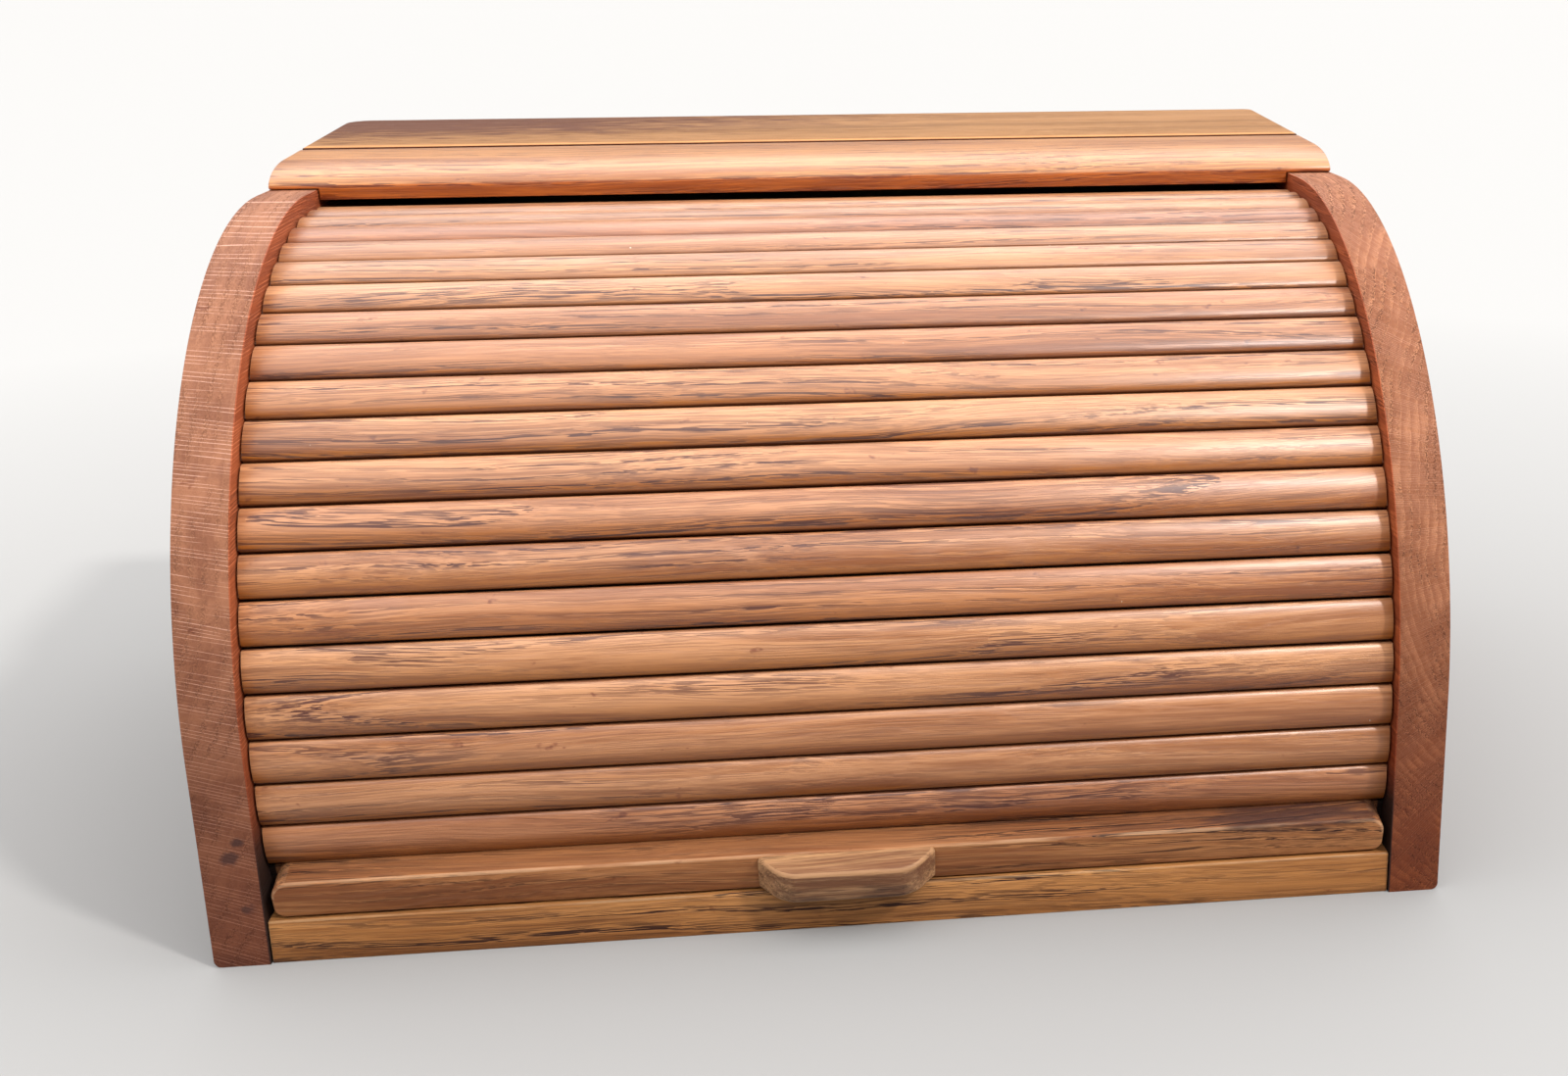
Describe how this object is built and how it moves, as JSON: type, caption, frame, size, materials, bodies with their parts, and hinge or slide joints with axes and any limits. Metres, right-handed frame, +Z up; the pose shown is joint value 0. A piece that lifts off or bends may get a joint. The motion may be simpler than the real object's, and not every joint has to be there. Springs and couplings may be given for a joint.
{
  "type": "bread box",
  "caption": "Free-standing oak bread box with quarter-round sides and a slatted roll-top door that slides up and back inside the box.",
  "frame": {"origin": "centre of the bounding box's footprint, on the surface that the box stands on", "axes": "+X to the box's right as seen by someone facing its door, +Y from the door to the back, +Z up"},
  "size_m": [0.406, 0.3336, 0.2422],
  "materials": {
    "side_oak": "varnished oak, reddish brown, sawn across the grain on the curved edge",
    "top_oak": "satin varnished oak, golden brown",
    "rail_oak": "varnished oak, golden brown with dark pores",
    "tambour_oak": "satin varnished oak slats, each with its own tone",
    "handle_oak": "oak darkened by handling, worn pale at its edges",
    "panel_ply": "thin oak-faced plywood, lightly sealed",
    "canvas_cloth": "unbleached cotton canvas, plain weave",
    "bright_steel": "plain bright steel",
    "dowel_beech": "unfinished beech"
  },
  "bodies": {
    "carcass": {"side_panel_left": "side_oak", "side_panel_right": "side_oak", "top_nosing": "top_oak", "top_board": "top_oak", "bottom_rail": "rail_oak", "floor_panel": "panel_ply", "back_panel": "panel_ply", "dowel_top_left_1": "dowel_beech", "brad_left_1": "bright_steel", "dowel_top_left_2": "dowel_beech", "brad_left_2": "bright_steel", "dowel_top_left_3": "dowel_beech", "brad_left_3": "bright_steel", "dowel_rail_left": "dowel_beech", "brad_floor_left": "bright_steel", "dowel_top_right_1": "dowel_beech", "brad_right_1": "bright_steel", "dowel_top_right_2": "dowel_beech", "brad_right_2": "bright_steel", "dowel_top_right_3": "dowel_beech", "brad_right_3": "bright_steel", "dowel_rail_right": "dowel_beech", "brad_floor_right": "bright_steel"},
    "door": {"slat_01": "tambour_oak", "slat_02": "tambour_oak", "slat_03": "tambour_oak", "slat_04": "tambour_oak", "slat_05": "tambour_oak", "slat_06": "tambour_oak", "slat_07": "tambour_oak", "slat_08": "tambour_oak", "slat_09": "tambour_oak", "slat_10": "tambour_oak", "slat_11": "tambour_oak", "slat_12": "tambour_oak", "slat_13": "tambour_oak", "slat_14": "tambour_oak", "slat_15": "tambour_oak", "slat_16": "tambour_oak", "slat_17": "tambour_oak", "slat_18": "tambour_oak", "slat_19": "tambour_oak", "slat_20": "tambour_oak", "lead_rail": "rail_oak", "handle_block": "handle_oak", "handle_screw_1": "bright_steel", "handle_screw_2": "bright_steel", "canvas_backing": "canvas_cloth"}
  },
  "joints": [
    {"name": "door_roll", "type": "hinge", "parent": "carcass", "child": "door", "pos_m": [0, 0.00455, 0.0662], "axis": [-1, 0, 0], "range_deg": [0, 102]}
  ]
}
